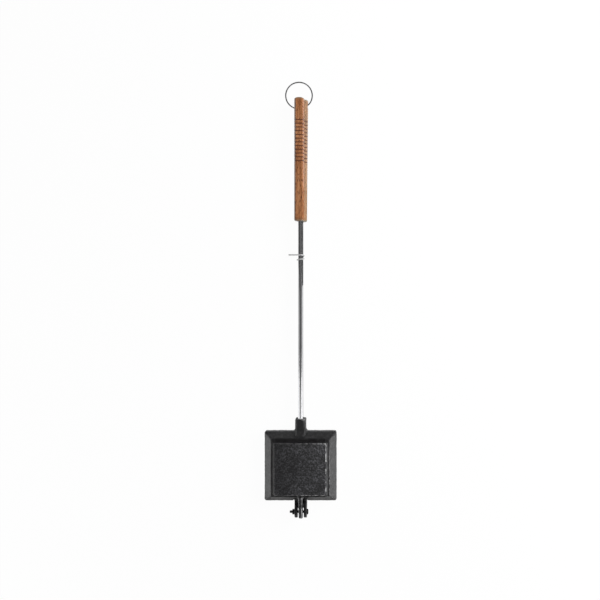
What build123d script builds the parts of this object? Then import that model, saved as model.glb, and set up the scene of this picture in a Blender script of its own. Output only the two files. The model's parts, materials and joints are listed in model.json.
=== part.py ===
"""Long-handled pie iron: two hinged cast-iron shells on steel rods with wooden grips.

Millimetres. It lies flat on its lower shell: +Z is up and +Y runs along the handles.
The origin is on the lower shell's resting face, under the middle of the head.
Both halves are modelled upright on the parting plane (z = 0) and are then put in place,
the lower one turned over, so "height" below means height from the parting plane.
"""
import os
from math import acos, atan2, cos, pi, radians, sin, sqrt

from build123d import *

# Cast shells, each a hollow stepped tray
rim_width = 108.2          # across the rim, along X
rim_length = 104.3         # along Y
rim_edge = 4.5             # upright edge of the rim
rim_corner = 3.0
half_height = 18.5         # parting plane to the flat outer face
step_rise = 5.5            # the flat face stands this far over the ledge at the ridge
side_flank_run = 10.7      # how far each flank comes in
handle_flank_run = 10.4
hinge_flank_run = 8.1
side_step_run = 4.5        # ledge and wall together, on each side
handle_step_run = 5.2
hinge_step_run = 2.9
wall_run = 1.1             # draft of the wall between the ledge and the flat face
ridge_corner = 2.4
face_corner = 2.0
edge_softness = 0.9        # rounding of the cast edges
foot_round = 0.7           # along the foot of the wall
parting_gap = 0.3          # daylight between the closed rims
land = 5.0                 # flat mating rim round the cavity
hinge_land = 7.5
face_wall = 4.0            # metal under the flat face
cavity_corner = 7.0
floor_inset = 3.8          # cavity floor, in from the outline of the flat face

# Handle rods and their sockets
rod_diameter = 7.0
rod_height = 6.0           # rod centre to the parting plane
rod_chamfer = 0.6
rod_fit = 0.05             # radial clearance in socket and grip
socket_wall = 4.7          # metal beside the rod
socket_crown = 1.95        # metal over the rod
socket_reach = 18.4        # beyond the rim
socket_depth = 21.0        # length of the bore
socket_round = 4.2
socket_chamfer = 0.8
web_rim_width = 20.0       # low web that ties the socket to the flank
web_rim_height = 7.4
web_ridge_width = 14.4
free_rod = 294.75          # socket to grip

# Wooden grips
grip_diameter = 14.8
grip_length = 183.2
grip_bore = 70.0
grip_gap = 0.8             # between the planed inner faces
grip_round = 2.0
groove_count = 12
groove_pitch = 5.53
groove_start = 33.3        # first groove, from the free end
groove_width = 1.3
groove_depth = 0.6
upper_grip_offset = -1.9   # the grips are not bored quite through their middles
lower_grip_offset = 1.5
lower_grip_skew = 0.6      # degrees

# Hanging ring, a D of wire through the lower grip
ring_wire = 2.0
ring_radius = 20.0
ring_bar = 19.9            # length of the straight bar
ring_bend = 2.4            # centre-line radius of the two corners
ring_hole = 7.0
ring_hole_setback = 8.8    # from the free end of the grip
ring_skew = 15.2           # degrees, how far the ring sits askew in its hole
ring_slip = 2.0            # the bar has slipped this far through the hole
ring_joint = 0.4           # where the wire ends meet

# Latch, a wire coil on the upper rod with a hooked arm
latch_wire_diameter = 2.0
latch_clearance = 0.3      # coil to rod, and hook to the lower rod when latched
latch_turns = 1.375
latch_drop = 7.3           # the coil's lay drops this far behind the rod
latch_return = 1.8         # and comes back in front
latch_setback = 50.8       # arm to the mouth of the grip
hook_overlap = 3.2         # hook past the middle of the lower rod
hook_bend = 2.2
coil_steps = 8             # bends in one turn
coil_bend_share = 0.9      # radius of each bend to that of the coil

# Knuckled hinge: two ears on the lower shell, one between them on the upper
hinge_reach = 17.75        # hinge axis beyond the rim
bolt_diameter = 4.0
ear_fit = 0.05             # radial clearance of the bolt in the outer ears
knuckle_fit = 0.08         # running clearance in the middle ear
ear_width = 5.0
ear_radius = 8.9
ear_round = 0.9
ear_stand = 3.5            # how far an ear's root stands up into the notch
ear_root_inset = 3.5       # root of an ear, in from the rim
ear_face_drop = 4.0        # foot of an ear's rib, from the flat face
knuckle_width = 6.2
knuckle_radius = 10.3
knuckle_round = 1.3
knuckle_face_drop = 1.0
rib_root_width = 8.4       # the middle ear's rib narrows from the flat face to the eye
rib_bevel = 1.6            # along the top of the rib
rib_end = 3.0              # from the hinge axis
rib_bite = 1.0             # foot of a rib, in from the outline of the flat face
ear_gap = 1.3
web_gap = 0.8              # under the middle ear, over the web between the outer ears
web_reach = 16.4           # beyond the rim
web_thickness = 1.8
notch_gap = 1.0            # round each outer ear, in the other rim
bolt_head_diameter = 8.0
bolt_head_height = 2.0
bolt_slot_width = 1.2
bolt_slot_depth = 1.0
bolt_tail = 3.8            # thread beyond the nut
nut_flats = 7.0
nut_height = 3.2

rod_radius = rod_diameter / 2
grip_radius = grip_diameter / 2
wire_radius = latch_wire_diameter / 2
bolt_radius = bolt_diameter / 2
handle_edge = rim_length / 2
hinge_edge = -rim_length / 2
hinge_y = hinge_edge - hinge_reach
ridge_height = half_height - step_rise
cavity_depth = half_height - face_wall
socket_mouth = handle_edge + socket_reach
socket_floor = socket_mouth - socket_depth
socket_bore_radius = rod_radius + rod_fit
socket_width = 2 * (socket_bore_radius + socket_wall)
socket_height = rod_height + socket_bore_radius + socket_crown
grip_mouth = socket_mouth + free_rod
rod_end = grip_mouth + grip_bore
ear_inner = knuckle_width / 2 + ear_gap
ear_outer = ear_inner + ear_width
coil_radius = rod_radius + latch_clearance + wire_radius
face_side_run = side_flank_run + side_step_run
face_handle_run = handle_flank_run + handle_step_run
face_hinge_run = hinge_flank_run + hinge_step_run
face_hinge_y = hinge_edge + face_hinge_run
ring_centre = sqrt(ring_radius**2 - (ring_bar / 2) ** 2)
ring_reach = ring_centre + ring_radius


def outline(height, side_run, handle_run, hinge_run, corner):
    """Rounded rectangle at a height, drawn in from the rim by a run on each side."""
    width = rim_width - 2 * side_run
    length = rim_length - handle_run - hinge_run
    centre_y = (hinge_run - handle_run) / 2
    return Pos(0, centre_y, height) * RectangleRounded(width, length, corner)


def at_height(solid, height):
    """Edges that lie wholly at one height."""
    return solid.edges().filter_by_position(Axis.Z, height - 0.01, height + 0.01)


def face_block():
    """The raised flat face with its drafted wall."""
    foot = outline(
        ridge_height,
        face_side_run - wall_run,
        face_handle_run - wall_run,
        face_hinge_run - wall_run,
        face_corner,
    )
    face = outline(half_height, face_side_run, face_handle_run, face_hinge_run, face_corner)
    block = loft([foot, face], ruled=True)
    return fillet(at_height(block, half_height), edge_softness)


def tray():
    """Rim, sloping flank and stepped flat face, before it is hollowed."""
    floor = parting_gap / 2
    rim = extrude(outline(floor, 0, 0, 0, rim_corner), rim_edge - floor)
    rim_top = outline(rim_edge, 0, 0, 0, rim_corner)
    ridge = outline(ridge_height, side_flank_run, handle_flank_run, hinge_flank_run, ridge_corner)
    body = rim + loft([rim_top, ridge], ruled=True)
    body = fillet(at_height(body, ridge_height), edge_softness)
    body = fillet(at_height(body, rim_edge), edge_softness)
    body += face_block()
    foot_x = rim_width / 2 - face_side_run + wall_run
    foot = [edge for edge in at_height(body, ridge_height) if abs(edge.bounding_box().max.X) <= foot_x]
    return fillet(foot, foot_round)


def cavity():
    """Pocket for the bread, open at the parting plane."""
    mouth = outline(0, land, land, hinge_land, cavity_corner)
    floor = outline(
        cavity_depth,
        face_side_run + floor_inset,
        face_handle_run + floor_inset,
        face_hinge_run + floor_inset,
        cavity_corner,
    )
    return loft([mouth, floor], ruled=True)


def arch(y, width, height, corner):
    """Section of a rod socket at one place along the handle, flat on the parting plane."""
    floor = parting_gap / 2
    block = Pos(0, (floor + height) / 2) * Rectangle(width, height - floor)
    block = fillet(block.vertices().group_by(Axis.Y)[-1], corner)
    return Plane(origin=(0, y, 0), x_dir=(1, 0, 0), z_dir=(0, -1, 0)) * block


def socket():
    """Boss that holds the rod, with a low web that runs up the flank to the ridge."""
    ridge_y = handle_edge - handle_flank_run - edge_softness
    section = arch(socket_mouth, socket_width, socket_height, socket_round)
    boss = extrude(section, socket_mouth - ridge_y)
    boss = chamfer(boss.faces().sort_by(Axis.Y)[-1].outer_wire().edges(), socket_chamfer)
    web_foot = arch(handle_edge + edge_softness, web_rim_width, web_rim_height, socket_round / 2)
    web_top = arch(ridge_y, web_ridge_width, ridge_height, socket_round / 2)
    return boss + loft([web_foot, web_top], ruled=True)


def rod_bore():
    """The blind hole in a socket."""
    return Pos(0, socket_floor, rod_height) * Rot(-90, 0, 0) * Cylinder(
        socket_bore_radius, socket_depth + 1, align=(Align.CENTER, Align.CENTER, Align.MIN)
    )


def tangent_point(root, radius, side):
    """Where a line from a root point touches the round of an ear, above (+1) or below (-1)."""
    along = root[0] - hinge_y
    distance = sqrt(along**2 + root[1] ** 2)
    angle = atan2(root[1], along) + side * acos(radius / distance)
    return (hinge_y + radius * cos(angle), radius * sin(angle))


def across(profile, width):
    """A profile drawn along the handle, given a width across it and centred on x = 0."""
    return extrude(Plane.YZ * profile, width / 2, both=True)


def ear(radius, width, face_foot, rim_foot):
    """Round ear with its neck drawn tangent to two feet on the shell, centred on x = 0."""
    neck = Polygon(
        face_foot,
        tangent_point(face_foot, radius, 1),
        tangent_point(rim_foot, radius, -1),
        rim_foot,
        align=None,
    )
    profile = neck + Pos(hinge_y, 0) * Circle(radius)
    return across(profile, width)


def side_edges(solid):
    """Edges of the faces that look along X."""
    return solid.faces().filter_by(Axis.X).edges()


def hinge_bore(radius):
    """Hole for the hinge bolt, right through the ears."""
    return Pos(0, hinge_y, 0) * Rot(0, 90, 0) * Cylinder(radius, rim_width)


def rib_section(y, width, top):
    """Section of the middle ear's rib at one place, bevelled along its top."""
    half = width / 2
    floor = parting_gap / 2
    section = Polygon(
        (-half, floor),
        (half, floor),
        (half, top - rib_bevel),
        (half - rib_bevel, top),
        (rib_bevel - half, top),
        (-half, top - rib_bevel),
        align=None,
    )
    return Plane(origin=(0, y, 0), x_dir=(1, 0, 0), z_dir=(0, -1, 0)) * section


def knuckle():
    """The upper shell's middle ear, a rounded rib from the flat face to the eye."""
    floor = parting_gap / 2
    face_foot = (face_hinge_y + rib_bite, half_height - knuckle_face_drop)
    rim_foot = (hinge_edge - parting_gap, floor)
    inner_foot = (hinge_edge + ear_root_inset, floor)
    eye = ear(knuckle_radius, knuckle_width, face_foot, rim_foot)
    root = Polygon(face_foot, rim_foot, inner_foot, align=None)
    eye_top = sqrt(knuckle_radius**2 - rib_end**2)
    rib = loft(
        [
            rib_section(face_foot[0], rib_root_width, face_foot[1]),
            rib_section(hinge_y + rib_end, knuckle_width, eye_top),
        ],
        ruled=True,
    )
    return fillet(side_edges(eye), knuckle_round) + rib + across(root, knuckle_width)


def outer_ear(side):
    """One of the lower shell's two ears; its root stands up into the other rim's notch."""
    face_foot = (face_hinge_y + rib_bite, half_height - ear_face_drop)
    rim_foot = (hinge_edge, -ear_stand)
    root_height = ear_stand + rim_edge
    root = Pos(hinge_edge + ear_root_inset / 2, rim_edge - root_height / 2)
    root *= Rectangle(ear_root_inset, root_height)
    eye = ear(ear_radius, ear_width, face_foot, rim_foot)
    body = fillet(side_edges(eye), ear_round) + across(root, ear_width)
    return Pos(side * (ear_inner + ear_width / 2), 0, 0) * body


def ear_web():
    """Web that joins the outer ears under the middle one."""
    face_foot = (face_hinge_y + rib_bite, half_height - ear_face_drop)
    rim_foot = (hinge_edge + ear_root_inset, rim_edge)
    scoop = knuckle_radius + web_gap
    web = ear(scoop + web_thickness, 2 * ear_inner + ear_width, face_foot, rim_foot)
    swept = ear(
        scoop,
        rim_width,
        (hinge_edge + web_gap, half_height),
        (hinge_edge + web_gap, -web_gap),
    )
    room = Box(rim_width, 2 * web_reach, half_height, align=(Align.CENTER, Align.CENTER, Align.MIN))
    return (web & Pos(0, hinge_edge, rim_edge) * room) - mirror(swept, about=Plane.XY)


def notch(side):
    """Relief in the upper rim for the root of an outer ear."""
    depth = ear_root_inset + notch_gap
    width = ear_width + 2 * notch_gap
    block = Box(width, 2 * depth, 2 * ridge_height)
    return Pos(side * (ear_inner + ear_width / 2), hinge_edge, 0) * block


def blank_shell():
    """What both shells share: hollow tray and rod socket."""
    return tray() + socket() - rod_bore() - cavity()


def upper_shell():
    """Upper shell with the middle ear."""
    body = blank_shell() - notch(-1) - notch(1)
    body = body + knuckle() - hinge_bore(bolt_radius + knuckle_fit)
    return Pos(0, 0, half_height) * body


def lower_shell():
    """Lower shell with the two outer ears, turned over about the parting plane."""
    body = blank_shell() + outer_ear(-1) + outer_ear(1) + ear_web()
    body -= hinge_bore(bolt_radius + ear_fit)
    return Pos(0, 0, half_height) * mirror(body, about=Plane.XY)


def rod(side):
    """Straight steel rod from the floor of its socket to the end of the grip's bore."""
    length = rod_end - socket_floor
    bar = Cylinder(rod_radius, length, align=(Align.CENTER, Align.CENTER, Align.MIN))
    bar = chamfer(bar.edges().filter_by(GeomType.CIRCLE), rod_chamfer)
    return Pos(0, socket_floor, half_height + side * rod_height) * Rot(-90, 0, 0) * bar


def turned_dowel():
    """Dowel along +Y from its mouth at y = 0, with rounded ends and cut grooves."""
    dowel = Cylinder(grip_radius, grip_length, align=(Align.CENTER, Align.CENTER, Align.MIN))
    dowel = fillet(dowel.edges().filter_by(GeomType.CIRCLE), grip_round)
    half_width = groove_width / 2
    for index in range(groove_count):
        groove_z = grip_length - groove_start - index * groove_pitch
        cut = Polygon(
            (grip_radius, groove_z - half_width),
            (grip_radius, groove_z + half_width),
            (grip_radius - groove_depth, groove_z),
            align=None,
        )
        dowel -= revolve(Plane.XZ * cut, Axis.Z)
    return Rot(-90, 0, 0) * dowel


def placed_grip(side, offset, skew):
    """Dowel over its rod, planed flat where it faces the other grip, and bored for the rod."""
    grip = Pos(offset, grip_mouth, side * rod_height) * Rot(0, 0, -skew) * turned_dowel()
    planed = Pos(0, grip_mouth + grip_length / 2, -side * (grip_diameter - grip_gap) / 2)
    grip -= planed * Box(2 * grip_diameter, 2 * grip_length, grip_diameter)
    bore = Cylinder(
        rod_radius + rod_fit, 2 * grip_bore, align=(Align.CENTER, Align.CENTER, Align.CENTER)
    )
    return grip - Pos(0, grip_mouth, side * rod_height) * Rot(90, 0, 0) * bore


def upper_grip():
    """Grip on the upper rod."""
    return Pos(0, 0, half_height) * placed_grip(1, upper_grip_offset, 0)


def ring_hole_point():
    """Middle of the ring's hole, on the axis of the lower grip."""
    along = grip_length - ring_hole_setback
    x = lower_grip_offset + along * sin(radians(lower_grip_skew))
    y = grip_mouth + along * cos(radians(lower_grip_skew))
    return (x, y, half_height - rod_height)


def lower_grip():
    """Grip on the lower rod, with the ring's cross hole near its end."""
    grip = Pos(0, 0, half_height) * placed_grip(-1, lower_grip_offset, lower_grip_skew)
    hole = Rot(0, 90, 0) * Cylinder(ring_hole / 2, 2 * grip_diameter)
    return grip - Pos(*ring_hole_point()) * Rot(0, 0, -lower_grip_skew) * hole


def hanging_ring():
    """D-shaped wire ring; its ends meet in the middle of the straight bar, inside the hole."""
    half_bar = ring_bar / 2
    gap = ring_joint / 2
    bar = Line((gap, 0), (half_bar, 0))
    bow = ThreePointArc((half_bar, 0), (0, ring_reach), (-half_bar, 0))
    back = Line((-half_bar, 0), (-gap, 0))
    path = Wire([bar.edge(), bow.edge(), back.edge()])
    corners = [vertex for vertex in path.vertices() if abs(abs(vertex.X) - half_bar) < gap]
    path = path.fillet_2d(ring_bend, corners)
    section = Plane(origin=path @ 0, z_dir=path % 0) * Circle(ring_wire / 2)
    ring = sweep(section, path=path)
    return Pos(*ring_hole_point()) * Rot(0, 0, ring_skew) * Pos(-ring_slip, 0, 0) * ring


def eased(value):
    """Smooth step from 0 to 1."""
    held = min(max(value, 0), 1)
    return held**2 * (3 - 2 * held)


def coil_lay(turn):
    """Place of the coil along the rod after a number of turns."""
    return latch_return * eased((turn - 0.75) / 0.5) - latch_drop * eased((turn - 0.1) / 0.65)


def latch_wire():
    """Sprung coil round the upper rod, ending in an arm with a hook for the lower rod.

    The coil is a chain of tangent arcs round the rod; the arm leaves the top of the coil
    towards -X, long enough to pass beside the lower rod when it is swung down.
    """
    step = 2 * pi / coil_steps
    corner_radius = coil_radius / cos(step / 2)
    reach = 2 * rod_height + rod_radius + latch_clearance + wire_radius
    arm_y = grip_mouth - latch_setback
    points = [
        (-reach, 0, -hook_overlap),
        (-reach, 0, coil_radius),
    ]
    bends = round(latch_turns * coil_steps)
    for index in range(bends):
        angle = pi / 2 - step / 2 - index * step
        y = coil_lay((index + 0.5) / coil_steps)
        points.append((corner_radius * cos(angle), y, corner_radius * sin(angle)))
    radii = [hook_bend] + [coil_bend_share * coil_radius] * (bends - 1)
    path = FilletPolyline(*points, radius=radii)
    section = Plane(origin=path @ 0, z_dir=path % 0) * Circle(wire_radius)
    wire = sweep(section, path=path)
    return Pos(0, arm_y, half_height + rod_height) * wire


def hinge_bolt():
    """Slotted pan-head bolt, head against the +X ear."""
    tip = -(ear_outer + nut_height + bolt_tail)
    shank_length = ear_outer - tip
    shank = Cylinder(bolt_radius, shank_length, align=(Align.CENTER, Align.CENTER, Align.MIN))
    shank = chamfer(shank.edges().sort_by(Axis.Z)[0], bolt_radius / 5)
    head_radius = bolt_head_diameter / 2
    head = Cylinder(head_radius, bolt_head_height, align=(Align.CENTER, Align.CENTER, Align.MIN))
    head = fillet(head.edges().sort_by(Axis.Z)[-1], bolt_head_height / 2)
    slot = Pos(0, 0, bolt_head_height) * Box(bolt_slot_width, bolt_head_diameter, 2 * bolt_slot_depth)
    bolt = shank + Pos(0, 0, shank_length) * (head - slot)
    return Pos(tip, hinge_y, half_height) * Rot(0, 90, 0) * bolt


def hinge_nut():
    """Hexagon nut against the -X ear, its corners chamfered."""
    corner_radius = nut_flats / sqrt(3)
    prism = extrude(RegularPolygon(corner_radius, 6), nut_height)
    turned = Cylinder(corner_radius, nut_height, align=(Align.CENTER, Align.CENTER, Align.MIN))
    turned = chamfer(turned.edges().filter_by(GeomType.CIRCLE), corner_radius - nut_flats / 2)
    nut = (prism & turned) - Cylinder(bolt_radius + ear_fit, 3 * nut_height)
    return Pos(-ear_outer, hinge_y, half_height) * Rot(0, -90, 0) * nut


pieces = {
    "lower_plate": lower_shell(),
    "upper_plate": upper_shell(),
    "lower_rod": rod(-1),
    "upper_rod": rod(1),
    "lower_grip": lower_grip(),
    "upper_grip": upper_grip(),
    "latch_wire": latch_wire(),
    "hanging_ring": hanging_ring(),
    "hinge_bolt": hinge_bolt(),
    "hinge_nut": hinge_nut(),
}

os.makedirs("parts", exist_ok=True)
for name, piece in pieces.items():
    export_step(piece, f"parts/{name}.step")
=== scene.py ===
import bpy
import bmesh
import json
import math
import numpy as np
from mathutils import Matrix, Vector


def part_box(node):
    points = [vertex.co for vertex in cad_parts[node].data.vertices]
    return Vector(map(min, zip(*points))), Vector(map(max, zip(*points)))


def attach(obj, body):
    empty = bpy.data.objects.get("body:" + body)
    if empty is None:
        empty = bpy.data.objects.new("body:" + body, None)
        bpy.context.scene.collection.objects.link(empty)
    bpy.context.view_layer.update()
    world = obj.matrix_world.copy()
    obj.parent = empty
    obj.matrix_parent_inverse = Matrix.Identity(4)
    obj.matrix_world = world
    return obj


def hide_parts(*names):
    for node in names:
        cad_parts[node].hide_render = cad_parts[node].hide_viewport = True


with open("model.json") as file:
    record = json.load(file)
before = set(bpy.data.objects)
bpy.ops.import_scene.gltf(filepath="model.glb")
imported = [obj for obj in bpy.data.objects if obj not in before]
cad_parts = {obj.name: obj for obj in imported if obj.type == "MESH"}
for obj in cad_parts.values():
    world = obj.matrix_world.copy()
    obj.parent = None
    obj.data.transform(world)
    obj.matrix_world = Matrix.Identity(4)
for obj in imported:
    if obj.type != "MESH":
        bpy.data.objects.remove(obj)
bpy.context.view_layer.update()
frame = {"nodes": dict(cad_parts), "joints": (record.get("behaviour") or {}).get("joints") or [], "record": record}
nodes = frame["nodes"]
bodyOf = {node: body for body, names in frame["record"]["behaviour"]["bodies"].items() for node in names}
slotOf = {part["node"]: part["material_slot"] for part in frame["record"]["subparts"]}
jointAt = {joint["name"]: joint for joint in frame["joints"]}
mm = 0.001
partingHeight = jointAt["jaw_hinge"]["pos_m"][2]
hingeY = jointAt["jaw_hinge"]["pos_m"][1]
print("frame loaded:", len(nodes), "nodes")


def srgb(red, green, blue):
    # 0-255 screen values to the linear colour that shaders use
    screen = np.array([red, green, blue]) / 255.0
    linear = np.where(screen <= 0.04045, screen / 12.92, ((screen + 0.055) / 1.055) ** 2.4)
    return (*linear.tolist(), 1.0)


def grey(value):
    return (value, value, value, 1.0)


def addNode(tree, kind, sockets=None, **settings):
    # one shader node, its settings and its unlinked inputs
    node = tree.nodes.new(kind)
    for name, value in settings.items():
        setattr(node, name, value)
    for name, value in (sockets or {}).items():
        node.inputs[name].default_value = value
    return node


def link(tree, source, output, target, socket):
    tree.links.new(source.outputs[output], target.inputs[socket])


def addRamp(tree, stops):
    # a colour ramp from (position, colour) stops
    ramp = tree.nodes.new("ShaderNodeValToRGB")
    elements = ramp.color_ramp.elements
    while len(elements) < len(stops):
        elements.new(0.5)
    for element, (position, colour) in zip(elements, stops):
        element.position = position
        element.color = colour
    return ramp


def newGroup(name, inputs, outputs):
    # an empty node group with named sockets; gives the tree and its two ends
    tree = bpy.data.node_groups.new(name, "ShaderNodeTree")
    for label, kind, value in inputs:
        socket = tree.interface.new_socket(name=label, in_out="INPUT", socket_type=kind)
        socket.default_value = value
    for label in outputs:
        tree.interface.new_socket(name=label, in_out="OUTPUT", socket_type="NodeSocketFloat")
    return tree, tree.nodes.new("NodeGroupInput"), tree.nodes.new("NodeGroupOutput")


def useGroup(tree, group, coords, **values):
    # a shared effect fed with object coordinates
    node = tree.nodes.new("ShaderNodeGroup")
    node.node_tree = group
    for name, value in values.items():
        node.inputs[name].default_value = value
    link(tree, coords, "Object", node, "Vector")
    return node


def newMaterial(name):
    # a material with its Principled shader and texture coordinates ready
    material = bpy.data.materials.new(name)
    material.use_nodes = True
    tree = material.node_tree
    return material, tree, tree.nodes["Principled BSDF"], tree.nodes.new("ShaderNodeTexCoord")


studio = {
    "lens": 40.0, "sensor": 36.0,
    "cameraHeight": 1.0,
    "cameraAcross": 0.0692, "aimAcross": -0.0012, "aimAlong": 0.2475,
    "floorHalf": 6.0,
    "floorGlow": 0.97, "floorMirror": 0.55,
    "worldGlow": 0.085,
}
softboxes = {
    "left_box": {
        "place": (-0.75, -0.3, 0.22), "target": (0, -0.2, 0.02), "size": (0.7, 0.44), "radiance": 2.3,
    },
    "right_box": {
        "place": (0.75, -0.3, 0.22), "target": (0, -0.2, 0.02), "size": (0.7, 0.44), "radiance": 2.7,
    },
    "left_card": {
        "place": (-0.75, 0.0, 0.6), "target": (0, 0.0, 0.02), "size": (0.56, 0.75), "radiance": 0.35,
        "lights": False,
    },
    "right_card": {
        "place": (0.75, 0.0, 0.65), "target": (0, 0.0, 0.02), "size": (0.6, 0.8), "radiance": 0.28,
        "lights": False,
    },
    "near_card": {
        "place": (0.3, 0.5, 0.9), "target": (0, 0.35, 0.02), "size": (0.5, 0.25), "radiance": 0.3,
        "lights": False,
    },
    "head_box": {
        "place": (0.45, -0.6, 1.0), "target": (0.3, -0.6, 0.0), "size": (1.0, 0.8), "radiance": 0.4,
    },
    "strip_box": {
        "place": (0.0, -0.1, 1.0), "target": (0, -0.1, 0.0), "size": (0.4, 0.16), "radiance": 0.9,
    },
    "far_box": {
        "place": (0.0, 1.15, 0.42), "target": (0, 0.1, 0.0), "size": (1.0, 0.35), "radiance": 0.75,
    },
    "key_box": {
        "place": (0.9, 0.62, 0.75), "target": (0, 0.42, 0.0), "size": (0.7, 0.7), "radiance": 13.5,
        "mirrored": False,
    },
}
# black sheets lying on the floor where it is taken to be in shadow; only glossy rays see them, so they paint that
# floor shadow into the rods' reflections
shadowSheets = {
    "flag_right": {"low": (0.015, 0.27), "high": (0.3, 0.42), "height": 0.0006},
    "flag_left": {"low": (-0.3, 0.3), "high": (-0.05, 0.42), "height": 0.0006},
}


def buildCamera(setup):
    # looks straight down with +Y up the picture; the lens is shifted sideways, so nothing keystones
    data = bpy.data.cameras.new("camera")
    data.lens = setup["lens"]
    data.sensor_width = setup["sensor"]
    camera = bpy.data.objects.new("camera", data)
    bpy.context.scene.collection.objects.link(camera)
    across = setup["cameraAcross"] - setup["aimAcross"]
    camera.location = (setup["cameraAcross"], setup["aimAlong"], partingHeight + setup["cameraHeight"])
    data.shift_x = -across * setup["lens"] / (setup["sensor"] * setup["cameraHeight"])
    bpy.context.scene.camera = camera


def stagePlane(name, low, high, height, material):
    # a flat rectangle that is no part of the object
    mesh = bpy.data.meshes.new(name)
    outline = ((low[0], low[1]), (high[0], low[1]), (high[0], high[1]), (low[0], high[1]))
    corners = [(x, y, height) for x, y in outline]
    mesh.from_pydata(corners, [], [(0, 1, 2, 3)])
    plane = bpy.data.objects.new(name, mesh)
    bpy.context.scene.collection.objects.link(plane)
    mesh.materials.append(material)
    return plane


def floorMaterial(setup):
    # plain diffuse to light; white to the camera and paler to reflections
    material = bpy.data.materials.new("floor_white")
    material.use_nodes = True
    tree = material.node_tree
    tree.nodes.clear()
    diffuse = addNode(tree, "ShaderNodeBsdfDiffuse", {"Color": grey(0.8)})
    glow = addNode(tree, "ShaderNodeEmission", {"Color": grey(1.0), "Strength": 1.0})
    path = tree.nodes.new("ShaderNodeLightPath")
    camera = addNode(tree, "ShaderNodeMath", operation="MULTIPLY")
    camera.inputs[1].default_value = setup["floorGlow"]
    mirror = addNode(tree, "ShaderNodeMath", operation="MULTIPLY_ADD")
    mirror.inputs[1].default_value = setup["floorMirror"]
    mix = tree.nodes.new("ShaderNodeMixShader")
    output = tree.nodes.new("ShaderNodeOutputMaterial")
    link(tree, path, "Is Camera Ray", camera, 0)
    link(tree, path, "Is Glossy Ray", mirror, 0)
    link(tree, camera, "Value", mirror, 2)
    link(tree, mirror, "Value", mix, 0)
    link(tree, diffuse, "BSDF", mix, 1)
    link(tree, glow, "Emission", mix, 2)
    link(tree, mix, "Shader", output, "Surface")
    return material


def shadowSheetMaterial():
    # matt black sheet: painted floor shadow, seen only in reflections
    material, tree, shader, coords = newMaterial("flag_black")
    shader.inputs["Base Color"].default_value = grey(0.01)
    shader.inputs["Roughness"].default_value = 1.0
    return material


def buildWorld(setup):
    # white behind the object, a low even glow on it
    world = bpy.data.worlds.new("studio_world")
    bpy.context.scene.world = world
    world.use_nodes = True
    tree = world.node_tree
    tree.nodes.clear()
    path = tree.nodes.new("ShaderNodeLightPath")
    glow = addNode(tree, "ShaderNodeBackground", {"Color": grey(1.0), "Strength": setup["worldGlow"]})
    white = addNode(tree, "ShaderNodeBackground", {"Color": grey(1.0), "Strength": 1.0})
    mix = tree.nodes.new("ShaderNodeMixShader")
    output = tree.nodes.new("ShaderNodeOutputWorld")
    link(tree, path, "Is Camera Ray", mix, 0)
    link(tree, glow, "Background", mix, 1)
    link(tree, white, "Background", mix, 2)
    link(tree, mix, "Shader", output, "Surface")


def addSoftbox(name, place, target, size, radiance, mirrored=True, lights=True):
    # an area lamp of a given brightness: power = radiance * pi * area; it can be kept out of highlights, or
    # seen in them only
    data = bpy.data.lights.new(name, "AREA")
    data.shape = "RECTANGLE"
    data.size, data.size_y = size
    data.energy = radiance * math.pi * size[0] * size[1]
    lamp = bpy.data.objects.new(name, data)
    bpy.context.scene.collection.objects.link(lamp)
    lamp.location = place
    lamp.visible_glossy = mirrored
    lamp.visible_diffuse = lights
    lamp.rotation_euler = (Vector(target) - Vector(place)).to_track_quat("-Z", "Y").to_euler()


bpy.context.scene.view_settings.view_transform = "Standard"
buildCamera(studio)
reach = studio["floorHalf"]
stagePlane("studio_floor", (-reach, -reach), (reach, reach), 0.0, floorMaterial(studio))
shadowSheetBlack = shadowSheetMaterial()
for sheetName, card in shadowSheets.items():
    held = stagePlane(sheetName, card["low"], card["high"], card["height"], shadowSheetBlack)
    held.visible_camera = False
    held.visible_diffuse = False
    held.visible_shadow = False
buildWorld(studio)
for boxName, box in softboxes.items():
    addSoftbox(boxName, **box)
print("studio ready")


def sandGroup():
    # sand-cast skin: Height = 0.8 swell + 0.5 pits + grain, for bump; Tone is the grain alone, for fine
    # colour, and Patch the swell alone, for the pale specks that are painted glints
    tree, start, end = newGroup(
        "sandSkin",
        [("Vector", "NodeSocketVector", (0, 0, 0)), ("Grain", "NodeSocketFloat", 900.0),
         ("Swell", "NodeSocketFloat", 120.0)],
        ["Height", "Tone", "Patch"],
    )
    grain = addNode(tree, "ShaderNodeTexNoise", {"Detail": 3.0, "Roughness": 0.65})
    pits = addNode(tree, "ShaderNodeTexVoronoi", {"Randomness": 1.0}, feature="F1")
    swell = addNode(tree, "ShaderNodeTexNoise", {"Detail": 4.0, "Roughness": 0.7})
    for texture, socket in ((grain, "Grain"), (pits, "Grain"), (swell, "Swell")):
        link(tree, start, "Vector", texture, "Vector")
        link(tree, start, socket, texture, "Scale")
    pitted = addNode(tree, "ShaderNodeMath", operation="MULTIPLY_ADD")
    pitted.inputs[1].default_value = 0.5
    link(tree, pits, "Distance", pitted, 0)
    link(tree, grain, "Fac", pitted, 2)
    height = addNode(tree, "ShaderNodeMath", operation="MULTIPLY_ADD")
    height.inputs[1].default_value = 0.8
    link(tree, swell, "Fac", height, 0)
    link(tree, pitted, "Value", height, 2)
    tone = addNode(tree, "ShaderNodeMapRange", {"From Min": 0.35, "From Max": 0.7})
    patch = addNode(tree, "ShaderNodeMapRange", {"From Min": 0.46, "From Max": 0.6})
    link(tree, grain, "Fac", tone, "Value")
    link(tree, swell, "Fac", patch, "Value")
    link(tree, height, "Value", end, "Height")
    link(tree, tone, "Result", end, "Tone")
    link(tree, patch, "Result", end, "Patch")
    return tree


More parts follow.
